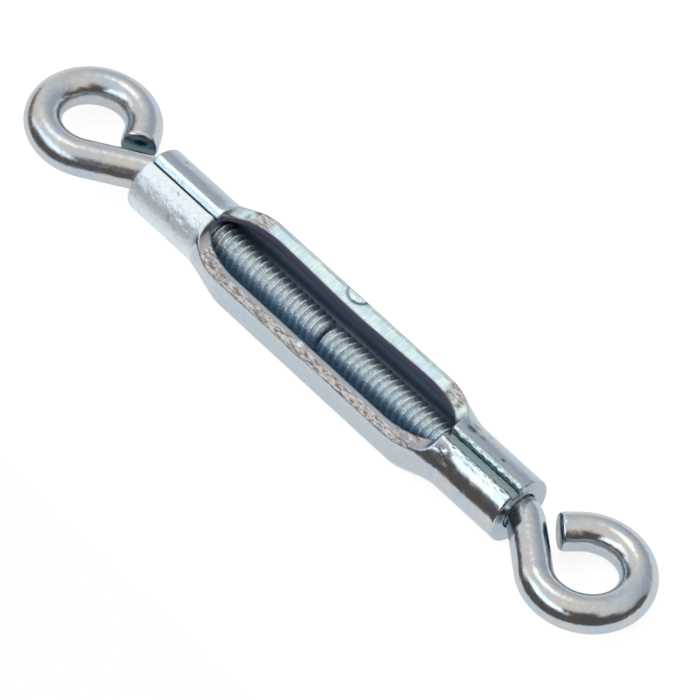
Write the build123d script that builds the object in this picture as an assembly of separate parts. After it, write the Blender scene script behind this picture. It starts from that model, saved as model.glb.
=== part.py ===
from build123d import *
import math
import os

# Rigging turnbuckle: a frame made from one steel strip, and two eye bolts, one with a right-hand
# thread and one with a left-hand thread, screwed fully home. The strip is folded up into a trough
# whose two legs stand apart in the middle, and rolled shut into a tapped sleeve at each end.
# Millimetres. The origin is the middle of the frame on the thread axis. +X runs along the
# thread axis, +Y across the legs and +Z up through the seams.

# Thread, 24 turns to the inch on 3/16 inch wire, drawn as its crest cylinder
THREAD_MAJOR_R = 2.36
THREAD_CLEARANCE = 0.15

# Wire and eye
WIRE_R = 2.39
EYE_R = 6.3
EYE_CENTRE_X = 44.5
EYE_ROLL = 15
NECK_BEND_R = 3.0
NECK_SLOPE = 36
NECK_START_X = 33.0
TAIL_ANGLE = 144
TAIL_STRAIGHT = 2.4

# Shank ends, which stop just short of each other, a little off the middle
RIGHT_TIP_X = 1.47
LEFT_TIP_X = -0.67
TIP_CHAMFER = 0.45
CORE_R = 1.0
CORE_CLEARANCE = 0.03
CORE_END_X = 31.0
RUNOUT = 0.6

# Frame
SLEEVE_R = 4.55
SLEEVE_END_X = 32.9
SLEEVE_INNER_X = 20.9
STRIP = 1.86
LEG_OUTER_Y = 5.56
LEG_INNER_Y = LEG_OUTER_Y - STRIP
LEG_Z = 3.35
TROUGH_INNER_R = 0.6
TROUGH_OUTER_R = TROUGH_INNER_R + STRIP
SHOULDER_START_X = 15.6
SHOULDER_END_X = 22.2
SHOULDER_END_R = 4.5
SHOULDER_SECTIONS = 7
ROUND_LEFTOVER = 0.1
RIM_RISE_R = 1.2
RIM_INNER_R = 0.4
RIM_OUTER_R = 0.2
WINDOW_BEND_X = 16.4
WINDOW_BEND_R = 5.0
WINDOW_NOSE_X = 20.7
WINDOW_NOSE_Y = 1.5
WINDOW_NOSE_R = 1.4
THROAT_R = 2.75
MOUTH_R = 3.15
MOUTH_DEPTH = 1.2

# Butt seams along the top of the sleeves: the left-hand sleeve's is open wider
RIGHT_SEAM_TOP = 0.9
RIGHT_SEAM_FLOOR = 0.25
LEFT_SEAM_TOP = 1.9
LEFT_SEAM_FLOOR = 1.3
SEAM_DEPTH = 1.0

# How far a cut runs past the metal, and how closely a face's height has to match
OVERCUT = 1.0
LEVEL_TOLERANCE = 0.01

ALONG_X = Location((0, 0, 0), (0, 90, 0))


def polar(radius, angle):
    return (radius * math.cos(angle), radius * math.sin(angle))


def rod(radius, start_x, end_x):
    bar = Cylinder(radius, end_x - start_x, align=(Align.CENTER, Align.CENTER, Align.MIN))
    return Pos(start_x, 0, 0) * ALONG_X * bar


def cone(start_r, end_r, start_x, end_x):
    frustum = Cone(start_r, end_r, end_x - start_x, align=(Align.CENTER, Align.CENTER, Align.MIN))
    return Pos(start_x, 0, 0) * ALONG_X * frustum


def eye_wire():
    """Neck, open ring and straight tail of the +X eye: one round wire along a flat path."""
    corner_x = NECK_START_X + NECK_BEND_R * math.tan(math.radians(NECK_SLOPE / 2))
    slope = math.asin(EYE_R / (EYE_CENTRE_X - corner_x))
    bend = NECK_BEND_R * math.tan(slope / 2)
    start = Vector(corner_x - bend, 0)
    bent = Vector(corner_x, 0) + Vector(math.cos(slope), -math.sin(slope)) * bend
    middle = Vector(EYE_CENTRE_X, 0)
    ring_start = -math.pi / 2 - slope
    ring_end = math.radians(TAIL_ANGLE)
    joins = middle + Vector(*polar(EYE_R, ring_start))
    leaves = middle + Vector(*polar(EYE_R, ring_end))
    halfway = middle + Vector(*polar(EYE_R, (ring_start + ring_end) / 2))
    tail = leaves + Vector(*polar(TAIL_STRAIGHT, ring_end + math.pi / 2))
    path = Curve() + [
        Line((corner_x - bend - RUNOUT, 0), start),
        TangentArc(start, bent, tangent=(1, 0)),
        Line(bent, joins),
        ThreePointArc(joins, halfway, leaves),
        Line(leaves, tail),
    ]
    section = Plane(path.wire() @ 0, z_dir=(1, 0, 0)) * Circle(WIRE_R)
    return Rot(-EYE_ROLL, 0, 0) * sweep(section, path=path.wire()), corner_x - bend - RUNOUT


def eye_bolt(tip_x):
    """Eye bolt of the +X end, with the bore that its shank core turns in."""
    eye, plain_x = eye_wire()
    point = cone(THREAD_MAJOR_R - TIP_CHAMFER, THREAD_MAJOR_R, tip_x, tip_x + TIP_CHAMFER)
    shank = rod(THREAD_MAJOR_R, tip_x + TIP_CHAMFER, plain_x + RUNOUT / 2)
    bolt = point + shank + eye
    return bolt - rod(CORE_R + CORE_CLEARANCE, tip_x - OVERCUT, CORE_END_X)


def shank_core(tip_x):
    return rod(CORE_R, tip_x, CORE_END_X - CORE_CLEARANCE)


def trough_section(x, side_y, bottom_z, top_z, corner_r, sleeve_r):
    """A face of the strip square to the axis: boxy between the legs, nearly round at the sleeve."""
    t = (x - SHOULDER_START_X) / (SHOULDER_END_X - SHOULDER_START_X)
    ease = t * t * (3 - 2 * t)
    half_y = side_y + (sleeve_r - side_y) * ease
    low = bottom_z + (-sleeve_r - bottom_z) * ease
    high = top_z + (sleeve_r - top_z) * ease
    corner = corner_r + (sleeve_r - ROUND_LEFTOVER - corner_r) * ease
    across = Plane((x, 0, (low + high) / 2), x_dir=(0, 1, 0), z_dir=(1, 0, 0))
    return across * RectangleRounded(2 * half_y, high - low, corner)


def trough(*shape):
    """Solid between the two shoulders' ends, from one trough section to the other."""
    span = SHOULDER_END_X - SHOULDER_START_X
    steps = [SHOULDER_START_X + span * i / (SHOULDER_SECTIONS - 1) for i in range(SHOULDER_SECTIONS)]
    middle = extrude(trough_section(SHOULDER_START_X, *shape), -2 * SHOULDER_START_X)
    shoulder = loft([trough_section(x, *shape) for x in steps])
    return middle + shoulder + mirror(shoulder, Plane.YZ)


def frame_blank():
    """The outside shape of the frame, solid all through."""
    sleeve = rod(SLEEVE_R, SHOULDER_END_X, SLEEVE_END_X)
    outside = trough(LEG_OUTER_Y, -SLEEVE_R, LEG_Z + TROUGH_OUTER_R, TROUGH_OUTER_R, SHOULDER_END_R)
    return outside + sleeve + mirror(sleeve, Plane.YZ)


def cavity():
    """The hollow of the trough, which runs under the shoulders to the tapped holes."""
    return trough(LEG_INNER_Y, STRIP - SLEEVE_R, LEG_Z - STRIP, TROUGH_INNER_R, THROAT_R)


def rim_shear():
    """What the shearing took off above the legs, rising in a curve to the top of each sleeve."""
    side = Rectangle(2 * SLEEVE_INNER_X, 2 * SLEEVE_R, align=(Align.CENTER, Align.MIN))
    side = fillet(side.vertices().group_by(Axis.Y)[0], RIM_RISE_R)
    facing_front = Plane((0, 0, LEG_Z), x_dir=(1, 0, 0), z_dir=(0, -1, 0))
    return extrude(facing_front * side, SLEEVE_END_X, both=True)


def window():
    """The opening above the trough, which tapers to a blunt nose at each sleeve."""
    corners = [(WINDOW_BEND_X, LEG_INNER_Y), (WINDOW_NOSE_X, WINDOW_NOSE_Y)]
    corners += [(x, -y) for x, y in reversed(corners)]
    corners += [(-x, -y) for x, y in corners]
    radii = [WINDOW_BEND_R, WINDOW_NOSE_R, WINDOW_NOSE_R, WINDOW_BEND_R] * 2
    return extrude(make_face(FilletPolyline(*corners, radius=radii, close=True)), 2 * SLEEVE_R)


def rim_edges(body):
    """The edges of the legs' flat rims: those round the window, and those along the outside."""
    lowest, highest = LEG_Z - LEVEL_TOLERANCE, LEG_Z + LEVEL_TOLERANCE
    rims = body.faces().filter_by(Plane.XY).filter_by_position(Axis.Z, lowest, highest)
    edges = [edge for edge in rims.edges() if edge.bounding_box().size.X > RIM_OUTER_R]
    reach = [max(abs(edge.bounding_box().min.Y), abs(edge.bounding_box().max.Y)) for edge in edges]
    inner = [edge for edge, y in zip(edges, reach) if y < LEG_INNER_Y + RIM_OUTER_R]
    outer = [edge for edge, y in zip(edges, reach) if y >= LEG_INNER_Y + RIM_OUTER_R]
    return inner, outer


def sleeve_bore():
    """Tapped length and countersunk mouth of the +X sleeve."""
    tapped = rod(THREAD_MAJOR_R + THREAD_CLEARANCE, SLEEVE_INNER_X, SLEEVE_END_X)
    mouth = cone(MOUTH_R - MOUTH_DEPTH, MOUTH_R, SLEEVE_END_X - MOUTH_DEPTH, SLEEVE_END_X)
    return tapped + mouth


def seam(top, floor):
    """Groove left where the rolled edges meet along the top of the +X sleeve."""
    half_top, half_floor, bottom = top / 2, floor / 2, SLEEVE_R - SEAM_DEPTH
    section = Polygon(
        (-half_top, SLEEVE_R), (-half_floor, bottom), (half_floor, bottom), (half_top, SLEEVE_R),
        (half_top, 2 * SLEEVE_R), (-half_top, 2 * SLEEVE_R), align=None,
    )
    across = Plane((SLEEVE_INNER_X - OVERCUT, 0, 0), x_dir=(0, 1, 0), z_dir=(1, 0, 0))
    return extrude(across * section, SLEEVE_END_X)


def frame():
    """One formed strip: a trough with two legs, and a tapped sleeve at each end."""
    body = frame_blank() - rim_shear() - cavity() - window()
    inner, outer = rim_edges(body)
    body = fillet(inner, RIM_INNER_R)
    body = fillet(rim_edges(body)[1], RIM_OUTER_R)
    body -= seam(LEFT_SEAM_TOP, LEFT_SEAM_FLOOR)
    body -= mirror(seam(RIGHT_SEAM_TOP, RIGHT_SEAM_FLOOR), Plane.YZ)
    bore = sleeve_bore()
    return body - bore - mirror(bore, Plane.YZ)


def main():
    os.makedirs("parts", exist_ok=True)
    pieces = {
        "frame": frame(),
        "left_hand_eye_bolt": eye_bolt(LEFT_TIP_X),
        "left_hand_shank_core": shank_core(LEFT_TIP_X),
        "right_hand_eye_bolt": mirror(eye_bolt(RIGHT_TIP_X), Plane.YZ),
        "right_hand_shank_core": mirror(shank_core(RIGHT_TIP_X), Plane.YZ),
    }
    for name, shape in pieces.items():
        export_step(shape, f"parts/{name}.step")


main()
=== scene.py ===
"""Looks of the rigging turnbuckle: a zinc-plated rolled frame and two threaded eye bolts.

Metres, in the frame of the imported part: the thread axis is X, the legs stand apart along Y and
the seams face +Z. The near side is -Y and the far side +Y. The bolts are worked out for the +X
end and mirrored for the -X end.
"""

import math

import bpy
import numpy as np
from mathutils import Matrix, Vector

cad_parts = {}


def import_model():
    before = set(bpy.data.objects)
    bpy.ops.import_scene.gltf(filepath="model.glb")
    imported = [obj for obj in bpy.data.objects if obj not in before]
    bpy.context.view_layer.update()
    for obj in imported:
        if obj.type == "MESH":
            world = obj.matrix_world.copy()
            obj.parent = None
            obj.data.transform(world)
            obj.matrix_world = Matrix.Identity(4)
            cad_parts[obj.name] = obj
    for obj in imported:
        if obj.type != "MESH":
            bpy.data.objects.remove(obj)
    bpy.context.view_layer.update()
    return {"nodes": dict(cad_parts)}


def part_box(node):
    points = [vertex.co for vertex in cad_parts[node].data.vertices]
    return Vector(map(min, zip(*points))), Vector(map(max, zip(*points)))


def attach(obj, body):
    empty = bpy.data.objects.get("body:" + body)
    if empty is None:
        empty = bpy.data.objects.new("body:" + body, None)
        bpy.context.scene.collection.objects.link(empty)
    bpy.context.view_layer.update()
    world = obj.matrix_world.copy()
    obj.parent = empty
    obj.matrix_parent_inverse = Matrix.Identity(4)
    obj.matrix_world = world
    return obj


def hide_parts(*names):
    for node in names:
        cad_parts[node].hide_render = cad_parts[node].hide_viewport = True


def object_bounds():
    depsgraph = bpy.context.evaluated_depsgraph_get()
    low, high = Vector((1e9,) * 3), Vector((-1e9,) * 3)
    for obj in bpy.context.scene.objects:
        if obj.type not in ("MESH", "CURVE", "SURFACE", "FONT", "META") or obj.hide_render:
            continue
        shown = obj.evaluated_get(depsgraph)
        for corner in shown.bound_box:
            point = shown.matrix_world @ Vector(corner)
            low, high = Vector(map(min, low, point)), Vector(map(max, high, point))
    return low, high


MM = 0.001

# Camera
CAMERA_AZIMUTH = math.radians(54.03)
CAMERA_ELEVATION = math.radians(58.32)
CAMERA_ROLL = math.radians(7.15)
CAMERA_DISTANCE = 817.5 * MM
CAMERA_LENS = 348.6
CAMERA_SENSOR = 36
CAMERA_CLIP_START = 10 * MM
CAMERA_AIM_RIGHT = 1.92 * MM
CAMERA_AIM_DOWN = 0.93 * MM

# Floor
FLOOR_FAR = 1.5
FLOOR_NEAR_Y = -38 * MM
FLOOR_NEAR_X = 78 * MM
FLOOR_GREY = (0.40, 0.40, 0.40)
FLOOR_ROUGHNESS = 0.9
FLOOR_GLOW = 0.78

# Studio light, and the directions of its parts
CEILING_LIGHT = (1.20, 1.12, 1.02)
BACK_WALL_LIGHT = (0.62, 0.66, 0.74)
BAND_LIGHT = (2.2, 2.45, 2.7)
LAMP_LIGHT = (2.3, 2.3, 2.2)
HORIZON_DARK = (0.15, 0.135, 0.125)
HORIZON_BROWN = (0.85, 0.62, 0.50)
BACKDROP_WHITE = (1.0, 1.0, 1.0)
LOW_SHADE_DIRECTION = (0.4, -0.92, 0)
LOWEST_SHADE_DIRECTION = (0.35, -0.94, 0)
SCREEN_DIRECTION = (0.83, -0.56, 0)
SCREEN_SIDE = (0.56, 0.83, 0)
BAND_DIRECTION = (0, -1, 0)
BACK_WALL_DIRECTION = (0.2, 0.98, 0)
LAMP_DIRECTION = (-0.43, 0.35, 0.83)

# The studio's dark shapes: the height or width where each starts to fade in, and where it is full
LOW_SHADE_TOP = (0.62, 0.50)
LOWEST_SHADE_TOP = (0.36, 0.22)
SCREEN_TOP = (0.90, 0.78)
SCREEN_HALF_WIDTH = (0.42, 0.26)
BROWN_MARGIN = 0.06

# Frame, as in the part's design
STRIP = 1.86 * MM
LEG_Z = 3.35 * MM
RIM_LEAN = math.radians(5)
RIM_LEAN_START = 0.4 * MM
TROUGH_INNER_R = 0.6 * MM
SLEEVE_INNER_X = 20.9 * MM
SHOULDER_START_X = 15.0 * MM
SHOULDER_END_X = 22.6 * MM
RIM_RISE_R = 1.2 * MM
WINDOW_BEND_X = 13.2 * MM
WINDOW_NOSE_X = 21.0 * MM
LEG_BOW = 0.35 * MM
LEG_BOW_X = 9.0 * MM
THROAT_R = 2.75 * MM
BORE_CLEARANCE = 0.14 * MM
BORE_TAPER = 0.012
MOUTH_R = 2.52 * MM

# Seams along the top of the sleeves
SEAM_START_X = 19.9 * MM
SEAM_DEPTH = 1.0 * MM
WIDE_SEAM_NEAR_Y = -0.75 * MM
WIDE_SEAM_FAR_Y = 0.3 * MM
WIDE_SEAM_LEAN = 0.15
NARROW_SEAM_NEAR_Y = -0.22 * MM
NARROW_SEAM_FAR_Y = 0.10 * MM
NARROW_SEAM_LEAN = 1.7
NARROW_SEAM_SLOPE_Z = 3.95 * MM

# Marks of the rolling, shearing and punching
WEAR_DEPTH = 0.03 * MM
RIM_WAVE = 0.02 * MM
RIDGE_MIDDLE_Y = -0.08 * MM
RIDGE_APART_Y = 0.95 * MM
RIDGE_WIDTH = 0.22 * MM
RIDGE_HEIGHT = 0.12 * MM
FRACTURE_START = 0.6 * MM
FRACTURE_FULL = 0.85 * MM
FRACTURE_DEPTH = 0.06 * MM
PUNCH_X = -1.3 * MM
PUNCH_R = 1.9 * MM
PUNCH_OUT_Y = 0.6 * MM
PUNCH_DEPTH = 0.2 * MM
PUNCH_SHADE_INSET = 0.12 * MM
PUNCH_SHADE_WIDTH = 0.24 * MM

# Radii that the frame's edges are rounded to
RIM_EDGE_R = 0.2 * MM
TROUGH_EDGE_R = 0.5 * MM
WINDOW_EDGE_R = 0.3 * MM
SEAM_EDGE_R = 0.1 * MM
BORE_EDGE_R = 0.08 * MM
PUNCH_EDGE_R = 0.08 * MM
END_EDGE_R = 0.2 * MM

# Handling dents on the sleeves, in millimetres: place, half-length, half-width and depth
SLEEVE_DENTS = [
    ((-27.3, -1.2, 4.4), 0.5, 0.3, 0.35),
    ((-26.6, -0.9, 4.5), 0.3, 0.25, -0.12),
    ((-22.9, -3.3, 3.1), 0.6, 0.35, 0.16),
    ((-24.6, -2.9, 3.5), 0.8, 0.3, 0.08),
    ((-30.8, -2.6, 3.7), 0.7, 0.5, 0.07),
    ((-30.0, 3.0, 3.4), 0.3, 0.25, 0.15),
    ((22.6, 2.9, 3.5), 0.5, 0.3, 0.25),
    ((24.6, 3.2, 3.2), 0.25, 0.2, 0.15),
    ((23.6, -3.0, 3.4), 0.9, 0.5, 0.1),
]

# Burrs pushed up on the near rim, in millimetres: place, half-sizes and depth
RIM_BURRS = [
    ((-0.9, -4.3, 3.4), (0.7, 0.45, 0.5), -0.28),
    ((-0.9, -5.6, 3.1), (1.2, 0.5, 0.5), -0.12),
]

# Places in the frame's plating, in millimetres. Fades run from the first value to the second, and
# bands are full between their two middle values.
SLEEVE_FADE_X = (20.5, 21.5)
DULL_LIT_SIDE_FADE_Y = (0.9, 0.7)
FAR_CHEEK_SHADE_FADE_X = (20.0, 22.0)
FAR_CHEEK_SHADE_FADE_Y = (1.1, 1.4)
NEAR_WALL_SHADE_FADE_Y = (0.5, -0.5)
DEEP_SHADE_FADE_Z = (-1.0, -2.2)
NEAR_RIM_SHADE_FADE_Y = (-1.0, -1.4)
TORN_RIM_FADE_Y = (-4.25, -4.45)
TORN_PATCH_BAND_X = (15.3, 16.3, 18.6, 19.6)
RIM_LINE_Y = 5.12
RIM_LINE_FADE = (0.13, 0.04)
FAR_LIP_BAND_Y = (0.28, 0.38, 0.9, 1.1)
NEAR_LIP_BAND_Y = (-2.3, -1.5, -0.9, -0.7)
NEAR_LIP_WEAR_X = (33, 24)
SEAM_FOOT_SHADE_FADE_Z = (4.05, 3.85)
SCAR_PLACE = (22.4, -2.5, 3.6)
SCAR_R = 1.6

# Dark chips in the +X sleeve's plating, in millimetres: place x, y, z and radius
DARK_CHIPS = [(22.5, 2.3, 3.9, 0.7), (24.3, 2.3, 3.9, 0.4), (28.3, 1.9, 4.1, 0.3)]

# Thread
PITCH = 25.4 / 24 * MM
THREAD_MAJOR_R = 2.36 * MM
THREAD_DEPTH = 0.57 * MM
THREAD_CREST_SHARE = 0.07
THREAD_ROOT_SHARE = 0.43
THREAD_FADE = 1.0 * MM
THREAD_END_GAP = 0.2 * MM
TIP_CHAMFER = 0.45 * MM
TIP_BULGE = 0.06 * MM

# Wire and eye
WIRE_R = 2.39 * MM
EYE_R = 6.3 * MM
EYE_CENTRE_X = 44.5 * MM
EYE_ROLL = math.radians(15)
NECK_BEND_R = 3.0 * MM
NECK_SLOPE = math.radians(36)
NECK_START_X = 33.0 * MM
TAIL_ANGLE = math.radians(144)
TAIL_STRAIGHT = 2.4 * MM
CUT_ROUND_DEPTH = 0.25 * MM
CUT_ROUND_LENGTH = 0.2 * MM
SHANK_SAG_X = 26 * MM
SHANK_SAG_Y = -0.25 * MM
SHANK_SAG_Z = -0.15 * MM

# Fineness of the meshes
FIELD_STEP = 0.2 * MM
RING_SIDES = 64
RINGS_PER_PITCH = 16
WIRE_STEP = 0.22 * MM

# Height of the finest grain in the plating
FRAME_GRAIN = 0.004 * MM
BOLT_GRAIN = 0.003 * MM

# Colours
COOL_ZINC = (0.42, 0.48, 0.55)
WARM_ZINC = (0.50, 0.50, 0.50)
# A dark zinc tone, also painted as shade where the plate is seen edge-on
DARK_ZINC_AND_EDGE_SHADE = (0.27, 0.37, 0.43)
# Zinc of the dull near side of the -X sleeve: real dull plate, painted paler as painted light
DULL_AND_LIT_ZINC = (0.74, 0.82, 0.88)
# Darker grey painted on the far side of the sleeves as painted shade
FAR_CHEEK_SHADE_ZINC = (0.34, 0.41, 0.47)
# Painted highlight on the seam lips, mixed with crumbs on the +X far lip
LIP_HIGHLIGHT_ZINC = (0.66, 0.80, 0.86)
# Painted shade inside the trough: purple and teal on the far wall, darker deep down, blue on the near
# wall
RECESS_SHADE_PURPLE = (0.20, 0.19, 0.29)
RECESS_SHADE_TEAL = (0.15, 0.23, 0.31)
DEEP_SHADE_ZINC = (0.14, 0.215, 0.32)
NEAR_WALL_SHADE_BLUE = (0.20, 0.37, 0.54)
# Painted shade in the seams: the wide seam and the foot of the closed seam
SEAM_SHADE_ZINC = (0.17, 0.24, 0.26)
SEAM_SHADE_DARK = (0.04, 0.10, 0.13)
# Painted shade and light on the rims: the near rim is painted darker grey, the far rim pale
NEAR_RIM_SHADE_GREY = (0.26, 0.29, 0.33)
FAR_RIM_LIT_PALE = (0.55, 0.64, 0.66)
FAR_RIM_LIT_BLUE = (0.40, 0.54, 0.62)
TORN_DARK = (0.10, 0.088, 0.082)
TORN_LIGHT = (0.54, 0.54, 0.55)
SCAR_DARK = (0.07, 0.055, 0.05)
# Painted shade along the edge of the punch's half-moon
PUNCH_SHADE_BLUE = (0.05, 0.07, 0.15)
CUT_TEAL = (0.10, 0.16, 0.19)
THREAD_BLUE = (0.42, 0.54, 0.62)
# Pale painted glints on the thread
THREAD_GLINT_PALE = (0.72, 0.78, 0.80)


# ---------------------------------------------------------------- fields and meshes


def ease(low, high, value):
    """0 below low, 1 above high, and a smooth step between them."""
    t = np.clip((value - low) / (high - low), 0.0, 1.0)
    return t * t * (3 - 2 * t)


def bump_at(distance, width):
    """A smooth bump, 1 at no distance and nearly 0 past twice the width."""
    return np.exp(-((distance / width) ** 2))


def ripple(along, wavelength, seed, waves=5):
    """A repeatable uneven wave between about -1 and 1 along one coordinate."""
    random = np.random.default_rng(seed)
    total = np.zeros_like(along)
    for _ in range(waves):
        length = wavelength * random.uniform(0.5, 2.0)
        total += np.sin(2 * math.pi * along / length + random.uniform(0, 2 * math.pi))
    return total / math.sqrt(2 * waves)


def overlap(a, b, radius):
    """Intersection of two fields whose meeting edge is rounded off."""
    inner = np.minimum(np.maximum(a, b), -radius)
    return inner + np.hypot(np.maximum(a + radius, 0), np.maximum(b + radius, 0))


def rounded(side, up, radius):
    """A rounded corner, from the distances past the two straight lines through its centre."""
    outside = np.hypot(np.maximum(side, 0), np.maximum(up, 0))
    return outside + np.minimum(np.maximum(side, up), 0) - radius


def oval(along, across, half_length, half_width):
    """Distance, to first order, from an oval in a plane."""
    u, v = along / half_length, across / half_width
    size = np.hypot(u, v)
    slope = np.hypot(u / half_length, v / half_width) / np.maximum(size, 0.01)
    return (size - 1) / np.maximum(slope, 0.1 / half_width)


def dent(x, y, z, place, size, depth):
    """How far a soft dent, given in millimetres, moves the surface: out where depth is negative."""
    away = sum(((a / MM - c) / s) ** 2 for a, c, s in zip((x, y, z), place, size))
    return depth * MM * np.exp(-away)


def surface_net(field, low, high, step):
    """Points and quads of the surface where the field is zero, one point in each crossed cell."""
    axes = [np.arange(a, b, step) for a, b in zip(low, high)]
    value = field(*np.meshgrid(*axes, indexing="ij"))
    inside = value < 0
    rings, crossings = [], []
    for axis in range(3):
        first = tuple(slice(None, -1) if a == axis else slice(None) for a in range(3))
        second = tuple(slice(1, None) if a == axis else slice(None) for a in range(3))
        crossed = np.argwhere(inside[first] != inside[second])
        here = value[first][tuple(crossed.T)]
        there = value[second][tuple(crossed.T)]
        crossing = crossed.astype(float)
        crossing[:, axis] += here / (here - there)
        u, v = (axis + 1) % 3, (axis + 2) % 3
        ring = []
        for back_u, back_v in ((0, 0), (1, 0), (1, 1), (0, 1)):
            cell = crossed.copy()
            cell[:, u] -= back_u
            cell[:, v] -= back_v
            ring.append(np.ravel_multi_index(tuple(cell.T), value.shape))
        ring = np.stack(ring, axis=1)
        ring[here > 0] = ring[here > 0][:, ::-1]
        rings.append(ring)
        crossings.append(crossing)
    rings = np.concatenate(rings)
    crossings = np.concatenate(crossings)
    cells, quads = np.unique(rings, return_inverse=True)
    quads = quads.reshape(-1, 4)
    corners = quads.ravel()
    count = np.bincount(corners, minlength=len(cells))
    owners = np.repeat(np.arange(len(crossings)), 4)
    sums = [np.bincount(corners, crossings[owners, axis], len(cells)) for axis in range(3)]
    points = np.stack(sums, axis=1) / count[:, None]
    return np.array(low) + points * step, quads


def slopes(field, points, reach):
    """The field's gradient at each point."""
    found = []
    for axis in range(3):
        offset = np.zeros(3)
        offset[axis] = reach
        found.append(field(*(points + offset).T) - field(*(points - offset).T))
    return np.stack(found, axis=1) / (2 * reach)


def settle(points, quads, field, step, rounds=6):
    """Evens the mesh out, all but the last two rounds, and pulls its points onto the surface."""
    ends = np.concatenate([quads[:, [0, 1]], quads[:, [1, 2]], quads[:, [2, 3]], quads[:, [3, 0]]])
    starts, stops = ends.T
    count = np.bincount(starts, minlength=len(points))[:, None]
    for turn in range(rounds):
        slope = slopes(field, points, 0.1 * step)
        steep = np.maximum((slope**2).sum(axis=1, keepdims=True), 0.1)
        if turn < rounds - 2:
            sums = [np.bincount(starts, points[stops, axis], len(points)) for axis in range(3)]
            drift = np.stack(sums, axis=1) / count - points
            drift -= slope * (drift * slope).sum(axis=1, keepdims=True) / steep
            points = points + 0.5 * drift
        move = -slope * field(*points.T)[:, None] / steep
        points = points + np.clip(move, -0.5 * step, 0.5 * step)
    return points


def mesh_object(name, points, faces, material):
    mesh = bpy.data.meshes.new(name)
    mesh.from_pydata(points.tolist(), [], [list(face) for face in faces])
    mesh.polygons.foreach_set("use_smooth", np.ones(len(mesh.polygons), dtype=bool))
    mesh.materials.append(material)
    mesh.update()
    made = bpy.data.objects.new(name, mesh)
    bpy.context.scene.collection.objects.link(made)
    return made


def mark(made, name, values):
    """Stores one number for each point, for the material to read."""
    layer = made.data.attributes.new(name, "FLOAT", "POINT")
    layer.data.foreach_set("value", np.asarray(values, dtype=np.float32))


def on_surface(distance, full, none):
    """1 on the surface of a field, fading to 0 away from it."""
    return 1 - ease(full, none, np.abs(distance))


# ---------------------------------------------------------------- frame


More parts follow.
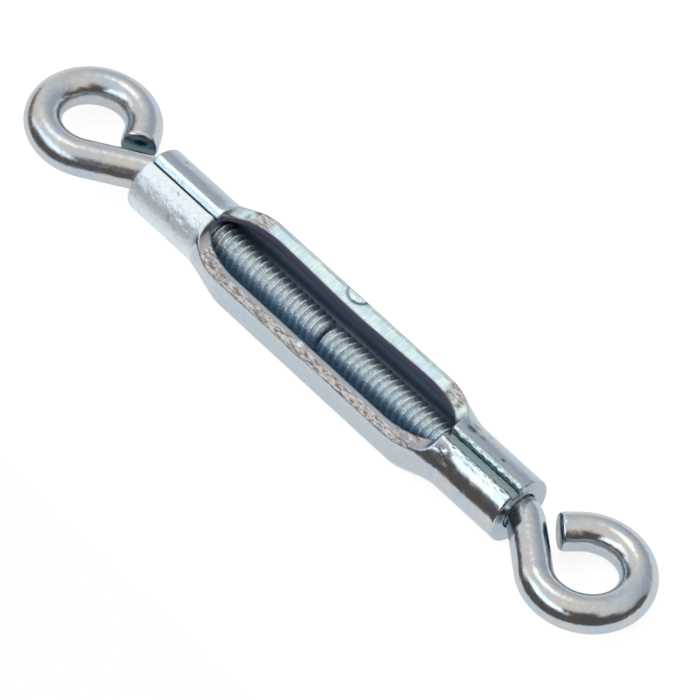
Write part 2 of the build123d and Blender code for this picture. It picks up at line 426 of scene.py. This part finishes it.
class Frame:
    """The frame as fields of signed distance, negative in the metal or in what is cut away."""

    def __init__(self, box):
        low, high = box
        self.end_x = high.x
        self.outer_y = high.y
        self.inner_y = high.y - STRIP
        self.sleeve_r = -low.z

    def trough(self, x, y, z, side_y, bottom_z, top_z, corner_r, sleeve_r):
        """A face of the strip: boxy between the legs and round at the sleeves."""
        along = ease(SHOULDER_START_X, SHOULDER_END_X, np.abs(x))
        half_y = side_y + (sleeve_r - side_y) * along
        low = bottom_z + (-sleeve_r - bottom_z) * along
        high = top_z + (sleeve_r - top_z) * along
        corner = corner_r + (sleeve_r - corner_r) * along
        side = np.abs(y) - half_y + corner
        up = np.abs(z - (low + high) / 2) - (high - low) / 2 + corner
        return rounded(side, up, corner)

    def outside(self, x, y, z):
        corner_r = TROUGH_INNER_R + STRIP
        top_z = LEG_Z + corner_r
        face = self.trough(x, y, z, self.outer_y, -self.sleeve_r, top_z, corner_r, self.sleeve_r)
        worn = ripple(x + 0.4 * y, 9 * MM, seed=1) * ripple(z - 0.3 * y, 7 * MM, seed=2)
        return face + WEAR_DEPTH * worn + self.sleeve_marks(x, y, z)

    def sleeve_marks(self, x, y, z):
        """Handling dents on the sleeves, and the ridges that rolling left beside the +X seam."""
        ridge = bump_at(np.abs(y - RIDGE_MIDDLE_Y) - RIDGE_APART_Y, RIDGE_WIDTH)
        ridge = ridge * (x > SLEEVE_INNER_X) * (z > 0)
        total = -RIDGE_HEIGHT * ridge * (1 + 0.6 * ripple(x, 1.1 * MM, seed=6))
        for place, half_length, half_width, depth in SLEEVE_DENTS:
            total = total + dent(x, y, z, place, (half_length, half_width, half_width), depth)
        return total

    def cavity(self, x, y, z):
        """The hollow of the trough, as far as the holes in the sleeves."""
        bottom_z, top_z = STRIP - self.sleeve_r, LEG_Z - STRIP
        face = self.trough(x, y, z, self.inner_y, bottom_z, top_z, TROUGH_INNER_R, THROAT_R)
        return np.maximum(face, np.abs(x) - SHOULDER_END_X)

    def window(self, x, y):
        """The opening between the rims, which the far leg bows into a little."""
        bow = LEG_BOW * bump_at(x, LEG_BOW_X) * (y > 0)
        past_bend = np.maximum(np.abs(x) - WINDOW_BEND_X, 0)
        return oval(past_bend, np.abs(y) + bow, WINDOW_NOSE_X - WINDOW_BEND_X, self.inner_y)

    def opening(self, x, y, z):
        """The cavity and the window above it, together."""
        above = overlap(self.window(x, y), -z, TROUGH_EDGE_R)
        return -overlap(-self.cavity(x, y, z), -above, TROUGH_EDGE_R)

    def removed_above_rims(self, x, y, z):
        """What was sheared off: above rims that lean outward, rising to each sleeve."""
        outward = np.abs(y) - self.inner_y - RIM_LEAN_START
        level = LEG_Z - math.tan(RIM_LEAN) * outward + RIM_WAVE * ripple(x, 2.5 * MM, seed=7)
        level = level + (y < 0) * self.fracture(x, y)
        side = RIM_RISE_R - (SLEEVE_INNER_X - np.abs(x))
        return rounded(side, RIM_RISE_R - (z - level), RIM_RISE_R)

    def fracture(self, x, y):
        """The torn outer half of the near rim."""
        torn = ease(self.inner_y + FRACTURE_START, self.inner_y + FRACTURE_FULL, np.abs(y))
        rough = ripple(x + 2 * y, 0.9 * MM, seed=8) * ripple(y - x, 0.7 * MM, seed=9)
        return -FRACTURE_DEPTH * torn * (1 + rough)

    def bore(self, x, y, z):
        """Hole and countersunk mouth of each sleeve, wider inwards to clear the leaning shank."""
        end = np.abs(x)
        depth = self.end_x - end
        hole = THREAD_MAJOR_R + BORE_CLEARANCE + BORE_TAPER * depth
        wall = np.hypot(y, z) - np.maximum(hole, MOUTH_R - depth)
        return np.maximum(wall, SLEEVE_INNER_X - end)

    def wide_seam(self, x, y, z):
        """The open seam of the +X sleeve: a flat floor between two torn lips."""
        torn = 0.10 * MM * ripple(x, 1.6 * MM, seed=3) + 0.05 * MM * ripple(x, 0.5 * MM, seed=4)
        near_lip = WIDE_SEAM_NEAR_Y + torn
        far_lip = WIDE_SEAM_FAR_Y + 0.06 * MM * ripple(x, 1.9 * MM, seed=5)
        height = z - (self.sleeve_r - SEAM_DEPTH)
        near = near_lip - y - WIDE_SEAM_LEAN * height
        far = y - far_lip - WIDE_SEAM_LEAN * height
        return np.maximum(np.maximum(near, far), -height)

    def narrow_seam(self, x, y, z):
        """The closed seam of the -X sleeve: a crack, and a broad slope down to its far side."""
        near = NARROW_SEAM_NEAR_Y - y
        floor = self.sleeve_r - SEAM_DEPTH - z
        crack = np.maximum(np.maximum(near, y - NARROW_SEAM_FAR_Y), floor)
        rise = z - NARROW_SEAM_SLOPE_Z
        slope = (y - NARROW_SEAM_FAR_Y - NARROW_SEAM_LEAN * rise) / math.hypot(1, NARROW_SEAM_LEAN)
        return np.minimum(crack, np.maximum(np.maximum(near, slope), -rise))

    def seam(self, x, y, z):
        gap = np.where(x > 0, self.wide_seam(x, y, z), self.narrow_seam(x, y, z))
        return np.maximum(gap, SEAM_START_X - np.abs(x))

    def punch(self, x, y):
        """Distance from the round punch that struck the far rim near mid-length."""
        return np.hypot(x - PUNCH_X, y - self.outer_y - PUNCH_OUT_Y) - PUNCH_R

    def punch_mark(self, x, y, z):
        return np.maximum(self.punch(x, y), LEG_Z - PUNCH_DEPTH - z)

    def punched_wall_shade(self, x, y, z):
        """How much painted shade darkens the edge of the punch's half-moon, most of all on its +X
        side.
        """
        edge = bump_at(self.punch(x, y) + PUNCH_SHADE_INSET, PUNCH_SHADE_WIDTH)
        on_rim = ease(LEG_Z - 0.6 * MM, LEG_Z - 0.4 * MM, z)
        return edge * on_rim * (0.7 + 0.3 * np.sign(x - PUNCH_X))

    def solid(self, x, y, z):
        body = self.outside(x, y, z)
        body = overlap(body, -self.removed_above_rims(x, y, z), RIM_EDGE_R)
        body = overlap(body, -self.opening(x, y, z), WINDOW_EDGE_R)
        body = overlap(body, -self.seam(x, y, z), SEAM_EDGE_R)
        body = overlap(body, -self.bore(x, y, z), BORE_EDGE_R)
        body = overlap(body, -self.punch_mark(x, y, z), PUNCH_EDGE_R)
        body = overlap(body, np.abs(x) - self.end_x, END_EDGE_R)
        return body + sum(dent(x, y, z, *burr) for burr in RIM_BURRS)


def make_frame(material):
    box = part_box("frame")
    form = Frame(box)
    margin = 3 * FIELD_STEP
    low = [c - margin for c in box[0]]
    high = [c + margin for c in box[1]]
    points, quads = surface_net(form.solid, low, high, FIELD_STEP)
    points = settle(points, quads, form.solid, FIELD_STEP)
    made = mesh_object("rolled_frame", points, quads, material)
    x, y, z = points.T
    mark(made, "rim", on_surface(form.removed_above_rims(x, y, z), 0.05 * MM, 0.2 * MM))
    mark(made, "inner", on_surface(form.opening(x, y, z), 0.05 * MM, 0.25 * MM))
    mark(made, "seam", on_surface(form.seam(x, y, z), 0.02 * MM, 0.15 * MM))
    mark(made, "punch_shade", form.punched_wall_shade(x, y, z))
    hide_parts("frame")
    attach(made, "frame")


# ---------------------------------------------------------------- eye bolts


def arc(middle, radius, start, end, spacing):
    """Evenly spaced points along an arc in a plane, without its first point."""
    count = max(2, round(abs(end - start) * radius / spacing))
    return [
        (middle[0] + radius * math.cos(a), middle[1] + radius * math.sin(a))
        for a in np.linspace(start, end, count + 1)[1:]
    ]


def line(start, end, spacing):
    """Evenly spaced points along a straight line in a plane, without its first point."""
    count = max(1, round(math.dist(start, end) / spacing))
    return [
        (start[0] + (end[0] - start[0]) * t, start[1] + (end[1] - start[1]) * t)
        for t in np.linspace(0, 1, count + 1)[1:]
    ]


def wire_path(tip_x):
    """Centre line of the +X bolt in its eye's plane, from the tip of the shank to the cut end."""
    corner_x = NECK_START_X + NECK_BEND_R * math.tan(NECK_SLOPE / 2)
    slope = math.asin(EYE_R / (EYE_CENTRE_X - corner_x))
    bend = NECK_BEND_R * math.tan(slope / 2)
    start = (corner_x - bend, 0)
    bent = (corner_x + bend * math.cos(slope), -bend * math.sin(slope))
    ring_start = -math.pi / 2 - slope
    joins = (EYE_CENTRE_X + EYE_R * math.cos(ring_start), EYE_R * math.sin(ring_start))
    leaves = (EYE_CENTRE_X + EYE_R * math.cos(TAIL_ANGLE), EYE_R * math.sin(TAIL_ANGLE))
    tail = (
        leaves[0] - TAIL_STRAIGHT * math.sin(TAIL_ANGLE),
        leaves[1] + TAIL_STRAIGHT * math.cos(TAIL_ANGLE),
    )
    first = (tip_x - TIP_BULGE, 0)
    path = [first] + line(first, start, PITCH / RINGS_PER_PITCH)
    path += arc((start[0], -NECK_BEND_R), NECK_BEND_R, math.pi / 2, math.pi / 2 - slope, WIRE_STEP)
    path += line(bent, joins, WIRE_STEP)
    path += arc((EYE_CENTRE_X, 0), EYE_R, ring_start, TAIL_ANGLE, WIRE_STEP)
    path += line(leaves, tail, WIRE_STEP)
    return np.array(path)


def thread_radius(turn):
    """Radius of the rolled thread at a share of a turn away from its crest, which is rounded."""
    away = np.abs(turn - np.round(turn))
    rise = np.clip((THREAD_ROOT_SHARE - away) / (THREAD_ROOT_SHARE - THREAD_CREST_SHARE), 0, 1)
    smooth = rise * rise * (3 - 2 * rise)
    return THREAD_MAJOR_R - THREAD_DEPTH * (1 - (rise + smooth) / 2)


def shank_radius(x, around, tip_x):
    """Radius of the left-hand shank, pointed at its tip and fading into the plain wire."""
    thread = thread_radius(x / PITCH + around / (2 * math.pi))
    thread_end = NECK_START_X - THREAD_END_GAP
    plain = ease(thread_end - THREAD_FADE, thread_end, x)
    radius = thread + (WIRE_R - thread) * plain
    point = THREAD_MAJOR_R - TIP_CHAMFER + (x - tip_x)
    return np.minimum(radius, point)


def bolt_rings(tip_x):
    """Rings of points along the +X bolt, and which of them are on the shank and at the cut."""
    path = wire_path(tip_x)
    ahead = np.gradient(path, axis=0)
    ahead /= np.linalg.norm(ahead, axis=1, keepdims=True)
    normal = np.stack([-ahead[:, 1], ahead[:, 0]], axis=1)
    travelled = np.concatenate([[0], np.cumsum(np.linalg.norm(np.diff(path, axis=0), axis=1))])
    straight = (travelled < NECK_START_X - tip_x)[:, None]
    to_cut = (travelled[-1] - travelled)[:, None]
    around = np.linspace(0, 2 * math.pi, RING_SIDES, endpoint=False)[None, :]
    radius = np.where(straight, shank_radius(path[:, :1], around, tip_x), WIRE_R)
    radius = radius - CUT_ROUND_DEPTH * bump_at(to_cut, CUT_ROUND_LENGTH)
    out_in_plane = np.sin(around) * radius
    out_of_plane = -np.cos(around) * radius
    x = path[:, :1] + normal[:, :1] * out_in_plane
    flat_y = path[:, 1:] + normal[:, 1:] * out_in_plane
    y = flat_y * math.cos(EYE_ROLL) + out_of_plane * math.sin(EYE_ROLL)
    z = -flat_y * math.sin(EYE_ROLL) + out_of_plane * math.cos(EYE_ROLL)
    sag = np.clip(1 - x / SHANK_SAG_X, 0, None) * straight
    rings = np.stack([x, y + SHANK_SAG_Y * sag, z + SHANK_SAG_Z * sag], axis=2)
    return rings, straight.ravel(), (to_cut == 0).ravel()


def tube_faces(count):
    """Faces of a closed tube with this many rings."""
    index = np.arange(count * RING_SIDES).reshape(count, RING_SIDES)
    after = np.roll(index, -1, axis=1)
    quads = np.stack([index[:-1], after[:-1], after[1:], index[1:]], axis=2).reshape(-1, 4)
    return [tuple(quad) for quad in quads] + [tuple(index[0][::-1]), tuple(index[-1])]


def make_bolt(name, node, body, tip_x, side, material):
    """An eye bolt, worked out for the +X end with a left-hand thread and mirrored for side -1."""
    rings, on_shank, at_cut = bolt_rings(tip_x)
    points = rings.reshape(-1, 3) * (side, 1, 1)
    faces = tube_faces(len(rings))
    if side > 0:
        faces = [face[::-1] for face in faces]
    made = mesh_object(name, points, faces, material)
    mark(made, "shank", np.repeat(on_shank, RING_SIDES))
    mark(made, "cut", np.repeat(at_cut, RING_SIDES))
    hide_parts(node)
    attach(made, body)


# ---------------------------------------------------------------- materials


class Nodes:
    """Adds nodes to one material or world. Places are the piece's own, in millimetres."""

    def __init__(self, owner, shader="Principled BSDF"):
        owner.use_nodes = True
        self.tree = owner.node_tree
        self.shader = self.tree.nodes[shader]

    def add(self, kind, inputs=(), **settings):
        node = self.tree.nodes.new(kind)
        for name, value in settings.items():
            setattr(node, name, value)
        for key, value in dict(inputs).items():
            if isinstance(value, bpy.types.NodeSocket):
                self.tree.links.new(value, node.inputs[key])
            else:
                node.inputs[key].default_value = value
        return node

    def link(self, value, name):
        """Connects a value to one of the shader's own inputs."""
        self.tree.links.new(value, self.shader.inputs[name])

    def place(self, stretch=(1, 1, 1)):
        coordinates = self.add("ShaderNodeTexCoord").outputs["Object"]
        scale = tuple(s / MM for s in stretch)
        return self.add("ShaderNodeMapping", {"Vector": coordinates, "Scale": scale}).outputs[0]

    def noise(self, scale, detail=3, stretch=(1, 1, 1), roughness=0.55):
        inputs = {"Vector": self.place(stretch), "Scale": scale}
        inputs.update({"Detail": detail, "Roughness": roughness})
        return self.add("ShaderNodeTexNoise", inputs).outputs["Fac"]

    def mark(self, name):
        return self.add("ShaderNodeAttribute", attribute_name=name).outputs["Fac"]

    def fade(self, value, low, high, start=0.0, end=1.0):
        """Start up to low, end from high on, and a smooth step between them."""
        inputs = {"Value": value, "From Min": low, "From Max": high, "To Min": start, "To Max": end}
        return self.add("ShaderNodeMapRange", inputs, interpolation_type="SMOOTHSTEP").outputs[0]

    def band(self, value, low, low_full, high_full, high):
        """1 between the two full values, fading to 0 on both sides."""
        return self.times(self.fade(value, low, low_full), self.fade(value, high, high_full))

    def math(self, operation, first, second=0.0):
        return self.add("ShaderNodeMath", {0: first, 1: second}, operation=operation).outputs[0]

    def plus(self, first, second):
        return self.math("ADD", first, second)

    def larger(self, first, second):
        return self.math("MAXIMUM", first, second)

    def absolute(self, value):
        return self.math("ABSOLUTE", value)

    def rest_of(self, value):
        return self.math("SUBTRACT", 1.0, value)

    def times(self, *values):
        total = values[0]
        for value in values[1:]:
            total = self.math("MULTIPLY", total, value)
        return total

    def mix(self, factor, first, second):
        """A mixture of two colours."""
        colours = [c if isinstance(c, bpy.types.NodeSocket) else (*c, 1) for c in (first, second)]
        inputs = {0: factor, 6: colours[0], 7: colours[1]}
        return self.add("ShaderNodeMix", inputs, data_type="RGBA").outputs[2]

    def blend(self, factor, first, second):
        """A mixture of two numbers."""
        return self.add("ShaderNodeMix", {0: factor, 2: first, 3: second}).outputs[0]

    def spot(self, place, radius, stretch=(1, 1, 1)):
        """1 at a place given in millimetres, falling to 0 at the radius."""
        middle = tuple(p * s for p, s in zip(place, stretch))
        inputs = {0: self.place(stretch), 1: middle}
        away = self.add("ShaderNodeVectorMath", inputs, operation="DISTANCE").outputs["Value"]
        return self.fade(away, radius, 0.3 * radius)


class Plating(Nodes):
    """Bright zinc plate over drawn steel, and the layers that are put over it."""

    def __init__(self, name, grain):
        self.material = bpy.data.materials.new(name)
        super().__init__(self.material)
        self.shader.inputs["Metallic"].default_value = 1.0
        apart = self.add("ShaderNodeSeparateXYZ", {0: self.place()})
        self.x, self.y, self.z = (apart.outputs[axis] for axis in "XYZ")
        mottle = self.fade(self.noise(0.28, 3), 0.3, 0.7)
        self.colour = self.mix(mottle, COOL_ZINC, WARM_ZINC)
        self.paint(self.fade(self.noise(1.3, 5), 0.3, 0.75, 0.0, 0.3), DARK_ZINC_AND_EDGE_SHADE)
        # Painted shade: the plate is darkened where it is seen edge-on
        edge_on_shade = self.add("ShaderNodeLayerWeight", {"Blend": 0.5}).outputs["Facing"]
        self.paint(self.fade(edge_on_shade, 0.45, 0.9, 0.0, 0.75), DARK_ZINC_AND_EDGE_SHADE)
        self.roughness = self.fade(self.noise(1.1, 3), 0.3, 0.7, 0.12, 0.22)
        self.normal = None
        self.emboss(self.noise(0.7, 2), 0.05 * MM)
        self.emboss(self.noise(7.0, 3), grain)

    def paint(self, mask, colour):
        self.colour = self.mix(mask, self.colour, colour)

    def roughen(self, mask, roughness):
        self.roughness = self.blend(mask, self.roughness, roughness)

    def emboss(self, height, depth):
        inputs = {"Height": height, "Distance": depth, "Strength": 1.0}
        if self.normal is not None:
            inputs["Normal"] = self.normal
        self.normal = self.add("ShaderNodeBump", inputs).outputs[0]

    def finish(self):
        self.link(self.colour, "Base Color")
        self.link(self.roughness, "Roughness")
        self.link(self.normal, "Normal")
        return self.material


def finish_sleeves(plate):
    """Dulls and batters the near side of the -X sleeve and paints it pale as painted light, and greys
    the far side of both as painted shade.
    """
    on_sleeve = plate.fade(plate.times(plate.x, -1.0), *SLEEVE_FADE_X)
    blotches = plate.fade(plate.noise(0.8, 4), 0.3, 0.5, 0.6, 1.0)
    dull_and_lit = plate.times(on_sleeve, plate.fade(plate.y, *DULL_LIT_SIDE_FADE_Y), blotches)
    # Painted light: the dull near side is painted pale
    plate.paint(plate.times(dull_and_lit, 0.85), DULL_AND_LIT_ZINC)
    flecks = plate.fade(plate.noise(1.8, 6, roughness=0.75), 0.60, 0.68)
    plate.paint(plate.times(dull_and_lit, flecks, 0.5), TORN_DARK)
    plate.roughen(dull_and_lit, 0.52)
    plate.emboss(plate.times(dull_and_lit, plate.noise(1.1, 6)), 0.15 * MM)
    far_side = plate.fade(plate.y, *FAR_CHEEK_SHADE_FADE_Y)
    far_cheek_shade = plate.times(plate.fade(plate.absolute(plate.x), *FAR_CHEEK_SHADE_FADE_X), far_side)
    # Painted shade: the far side of both sleeves is painted darker grey
    plate.paint(plate.times(far_cheek_shade, 0.8), FAR_CHEEK_SHADE_ZINC)
    plate.roughen(plate.times(far_cheek_shade, 0.6), 0.34)


def finish_trough(plate):
    """Paints shade into the inside of the trough: purple to teal down the far wall, darker deep down,
    and blue on the near.
    """
    inner = plate.times(plate.mark("inner"), plate.rest_of(plate.mark("rim")))
    streaks = plate.noise(0.9, 3, stretch=(0.08, 1, 1))
    hue = plate.fade(plate.plus(plate.z, plate.times(streaks, 3.0)), 0.2, 4.2)
    far_wall_shade = plate.mix(hue, RECESS_SHADE_TEAL, RECESS_SHADE_PURPLE)
    far_wall_shade = plate.mix(plate.fade(plate.z, *DEEP_SHADE_FADE_Z), far_wall_shade, DEEP_SHADE_ZINC)
    near_wall_shade = plate.fade(plate.y, *NEAR_WALL_SHADE_FADE_Y)
    # Painted shade: the inside of the trough is painted dark
    plate.paint(inner, plate.mix(near_wall_shade, far_wall_shade, NEAR_WALL_SHADE_BLUE))
    plate.roughen(inner, 0.5)
    # Less metal inside the trough, as part of the painted shade
    plate.link(plate.rest_of(plate.times(inner, 0.7)), "Metallic")


def finish_rims(plate):
    """Draws the far rim smooth and paints it pale as painted light, with a broken dark line, and the
    near one smooth and painted darker grey as painted shade.
    """
    rim = plate.mark("rim")
    strokes = plate.noise(1.6, 4, stretch=(4.0, 0.3, 0.3))
    tint = plate.fade(plate.noise(0.5, 3), 0.35, 0.65)
    far_lit_colour = plate.mix(tint, FAR_RIM_LIT_PALE, FAR_RIM_LIT_BLUE)
    far_lit_colour = plate.mix(plate.fade(strokes, 0.35, 0.65, 0.0, 0.45), far_lit_colour, DARK_ZINC_AND_EDGE_SHADE)
    # Painted light and shade: the far rim is painted pale and the near rim darker grey
    plate.paint(rim, plate.mix(plate.fade(plate.y, *NEAR_RIM_SHADE_FADE_Y), far_lit_colour, NEAR_RIM_SHADE_GREY))
    plate.roughen(rim, 0.34)
    plate.emboss(plate.times(rim, strokes), 0.012 * MM)
    from_line = plate.absolute(plate.plus(plate.y, -RIM_LINE_Y))
    gaps = plate.fade(plate.noise(0.7, 3), 0.35, 0.6, 0.1, 0.6)
    plate.paint(plate.times(plate.fade(from_line, *RIM_LINE_FADE), rim, gaps), TORN_DARK)


def tear_rims(plate):
    """Roughens the outer half of the near rim, and a patch of rim at each shoulder."""
    rim = plate.mark("rim")
    outer_half = plate.times(plate.fade(plate.y, *TORN_RIM_FADE_Y), rim, 0.85)
    patch = plate.times(plate.band(plate.absolute(plate.x), *TORN_PATCH_BAND_X), rim)
    patch = plate.times(patch, plate.fade(plate.noise(0.9, 4), 0.35, 0.5))
    torn = plate.larger(outer_half, patch)
    speckle = plate.noise(2.6, 8, stretch=(0.5, 1.3, 1), roughness=0.65)
    colour = plate.mix(plate.fade(speckle, 0.36, 0.62), TORN_DARK, TORN_LIGHT)
    plate.paint(plate.times(torn, 0.9), colour)
    plate.emboss(plate.times(torn, speckle), 0.10 * MM)


def finish_seams(plate):
    """Paints shade into the wide seam of the +X sleeve and crumbs with painted highlights on its far
    lip, and a painted highlight on the closed seam of the -X one with painted shade at its foot.
    """
    at_left_hand_end = plate.fade(plate.x, 0, 1)
    wide = plate.times(plate.mark("seam"), at_left_hand_end)
    # Painted shade: the wide seam is painted dark
    plate.paint(wide, SEAM_SHADE_ZINC)
    plate.roughen(wide, 0.4)
    far_lip = plate.times(plate.band(plate.y, *FAR_LIP_BAND_Y), plate.fade(plate.x, *SLEEVE_FADE_X))
    crumbs = plate.noise(2.4, 6, stretch=(0.6, 1, 1), roughness=0.7)
    # Crumbs on the far lip, their pale ones painted highlights
    lip_crumbs_and_highlight = plate.mix(plate.fade(crumbs, 0.36, 0.6), DARK_ZINC_AND_EDGE_SHADE, LIP_HIGHLIGHT_ZINC)
    plate.paint(plate.times(far_lip, 0.9), lip_crumbs_and_highlight)
    plate.roughen(far_lip, 0.36)
    plate.emboss(plate.times(far_lip, crumbs), 0.10 * MM)
    closed = plate.times(plate.mark("seam"), plate.rest_of(at_left_hand_end))
    # Painted highlight on the closed seam, and painted shade at its foot
    plate.paint(plate.times(closed, 0.8), LIP_HIGHLIGHT_ZINC)
    plate.paint(plate.times(closed, plate.fade(plate.z, *SEAM_FOOT_SHADE_FADE_Z), 0.95), SEAM_SHADE_DARK)


def scar(plate):
    """Scuffs the near lip of the wide seam, and adds the dark scars and painted shade along the
    punch's half-moon.
    """
    scuffs = plate.fade(plate.noise(2.2, 6, stretch=(0.4, 1, 1), roughness=0.75), 0.52, 0.62)
    near_lip = plate.times(
        plate.band(plate.y, *NEAR_LIP_BAND_Y),
        plate.fade(plate.x, *SLEEVE_FADE_X),
        plate.fade(plate.x, *NEAR_LIP_WEAR_X, 0.35, 0.9),
    )
    plate.paint(plate.times(near_lip, scuffs), TORN_DARK)
    ragged = plate.fade(plate.noise(1.5, 5, stretch=(0.45, 1, 1), roughness=0.7), 0.42, 0.50)
    scars = plate.spot(SCAR_PLACE, SCAR_R, stretch=(0.7, 1, 1))
    for *place, radius in DARK_CHIPS:
        scars = plate.larger(scars, plate.spot(place, radius, stretch=(0.6, 1, 1)))
    scars = plate.times(scars, ragged)
    plate.paint(plate.times(scars, 0.9), SCAR_DARK)
    plate.roughen(scars, 0.5)
    # Painted shade along the edge of the punch's half-moon, darkest on its +X side
    plate.paint(plate.times(plate.mark("punch_shade"), 0.95), PUNCH_SHADE_BLUE)


def frame_material():
    plate = Plating("frame_zinc_plate", FRAME_GRAIN)
    finish_sleeves(plate)
    finish_trough(plate)
    finish_rims(plate)
    tear_rims(plate)
    finish_seams(plate)
    scar(plate)
    return plate.finish()


def bolt_material():
    """Plate that is satin on the -X bolt, a thread with pale painted glints, and a dark sheared end.
    """
    plate = Plating("bolt_zinc_plate", BOLT_GRAIN)
    plate.roughness = plate.plus(plate.roughness, plate.fade(plate.x, 0, -20, 0.0, 0.06))
    shank = plate.mark("shank")
    glint = plate.fade(plate.noise(3.0, 5, roughness=0.7), 0.38, 0.62)
    # Painted highlight: pale glints are painted into the thread, which is also smoother there
    plate.paint(shank, plate.mix(glint, THREAD_BLUE, THREAD_GLINT_PALE))
    plate.roughen(shank, plate.fade(glint, 0, 1, 0.42, 0.28))
    plate.emboss(plate.times(shank, plate.noise(4.0, 4)), 0.10 * MM)
    plate.paint(plate.mark("cut"), CUT_TEAL)
    return plate.finish()


def core_material():
    return Plating("core_zinc_plate", BOLT_GRAIN).finish()


def floor_material():
    material = bpy.data.materials.new("pale_floor")
    shader = Nodes(material).shader
    shader.inputs["Base Color"].default_value = (*FLOOR_GREY, 1)
    shader.inputs["Roughness"].default_value = FLOOR_ROUGHNESS
    shader.inputs["Emission Color"].default_value = (1, 1, 1, 1)
    shader.inputs["Emission Strength"].default_value = FLOOR_GLOW
    return material


# ---------------------------------------------------------------- studio


def studio_sky():
    """A warm ceiling, a cool back wall, a bright band, dark low shades, a dark screen and a lamp."""
    world = bpy.data.worlds.new("studio")
    bpy.context.scene.world = world
    nodes = Nodes(world, "Background")
    direction = nodes.add("ShaderNodeTexCoord").outputs["Generated"]
    height = nodes.add("ShaderNodeSeparateXYZ", {0: direction}).outputs["Z"]

    def towards(vector):
        inputs = {0: direction, 1: vector}
        return nodes.add("ShaderNodeVectorMath", inputs, operation="DOT_PRODUCT").outputs["Value"]

    low_part = nodes.fade(towards(LOW_SHADE_DIRECTION), -0.15, 0.25)
    lowest_part = nodes.fade(towards(LOWEST_SHADE_DIRECTION), -0.72, -0.55)
    screen_part = nodes.fade(towards(SCREEN_DIRECTION), 0.2, 0.4)
    beside_screen = nodes.absolute(towards(SCREEN_SIDE))

    def within(value, limits, margin):
        start, full = limits
        return nodes.fade(value, start + margin, full + margin)

    def shade(margin):
        low = nodes.times(low_part, within(height, LOW_SHADE_TOP, margin))
        lowest = nodes.times(lowest_part, within(height, LOWEST_SHADE_TOP, margin))
        screen = nodes.times(within(beside_screen, SCREEN_HALF_WIDTH, margin), screen_part)
        screen = nodes.times(screen, within(height, SCREEN_TOP, margin))
        return nodes.larger(nodes.larger(low, lowest), screen)

    back_wall = nodes.fade(towards(BACK_WALL_DIRECTION), 0.2, 0.95)
    back_wall = nodes.times(back_wall, nodes.fade(height, 0.95, 0.3))
    band = nodes.fade(towards(BAND_DIRECTION), 0.08, 0.4)
    band = nodes.times(band, nodes.fade(height, 0.90, 0.80))
    lamp = nodes.fade(towards(LAMP_DIRECTION), 0.965, 0.995)
    colour = nodes.mix(back_wall, CEILING_LIGHT, BACK_WALL_LIGHT)
    colour = nodes.mix(band, colour, BAND_LIGHT)
    colour = nodes.mix(shade(BROWN_MARGIN), colour, HORIZON_BROWN)
    colour = nodes.mix(shade(0.0), colour, HORIZON_DARK)
    colour = nodes.mix(lamp, colour, LAMP_LIGHT)
    backdrop = nodes.add("ShaderNodeLightPath").outputs["Is Camera Ray"]
    nodes.link(nodes.mix(backdrop, colour, BACKDROP_WHITE), "Color")


def make_floor(level):
    left, right, near, far = -FLOOR_FAR, FLOOR_NEAR_X, FLOOR_NEAR_Y, FLOOR_FAR
    outline = [(left, near), (right, near), (right, far), (left, far)]
    corners = np.array([(x, y, level) for x, y in outline])
    floor = mesh_object("floor", corners, [(0, 1, 2, 3)], floor_material())


def make_camera():
    sin_a, cos_a = math.sin(CAMERA_AZIMUTH), math.cos(CAMERA_AZIMUTH)
    sin_e, cos_e = math.sin(CAMERA_ELEVATION), math.cos(CAMERA_ELEVATION)
    back = np.array([sin_a * cos_e, -cos_a * cos_e, sin_e])
    level = np.array([cos_a, sin_a, 0.0])
    level_up = np.cross(back, level)
    up = level_up * math.cos(CAMERA_ROLL) + level * math.sin(CAMERA_ROLL)
    right = np.cross(up, back)
    aim = right * CAMERA_AIM_RIGHT - up * CAMERA_AIM_DOWN
    place = np.eye(4)
    place[:3, 0], place[:3, 1], place[:3, 2] = right, up, back
    place[:3, 3] = aim + back * CAMERA_DISTANCE
    data = bpy.data.cameras.new("camera")
    data.lens = CAMERA_LENS
    data.sensor_width = CAMERA_SENSOR
    data.clip_start = CAMERA_CLIP_START
    camera = bpy.data.objects.new("camera", data)
    camera.matrix_world = Matrix(place)
    bpy.context.scene.collection.objects.link(camera)
    bpy.context.scene.camera = camera


def main():
    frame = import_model()
    bpy.context.scene.view_settings.view_transform = "Standard"
    bolt_metal = bolt_material()
    make_frame(frame_material())
    right_tip_x = -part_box("right_hand_eye_bolt")[1].x
    left_tip_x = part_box("left_hand_eye_bolt")[0].x
    make_bolt("right_hand_bolt", "right_hand_eye_bolt", "right_bolt", right_tip_x, -1, bolt_metal)
    make_bolt("left_hand_bolt", "left_hand_eye_bolt", "left_bolt", left_tip_x, 1, bolt_metal)
    core_metal = core_material()
    for node in ("right_hand_shank_core", "left_hand_shank_core"):
        materials = frame["nodes"][node].data.materials
        materials.clear()
        materials.append(core_metal)
    visual_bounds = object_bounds()
    make_floor(visual_bounds[0].z)
    studio_sky()
    make_camera()


main()
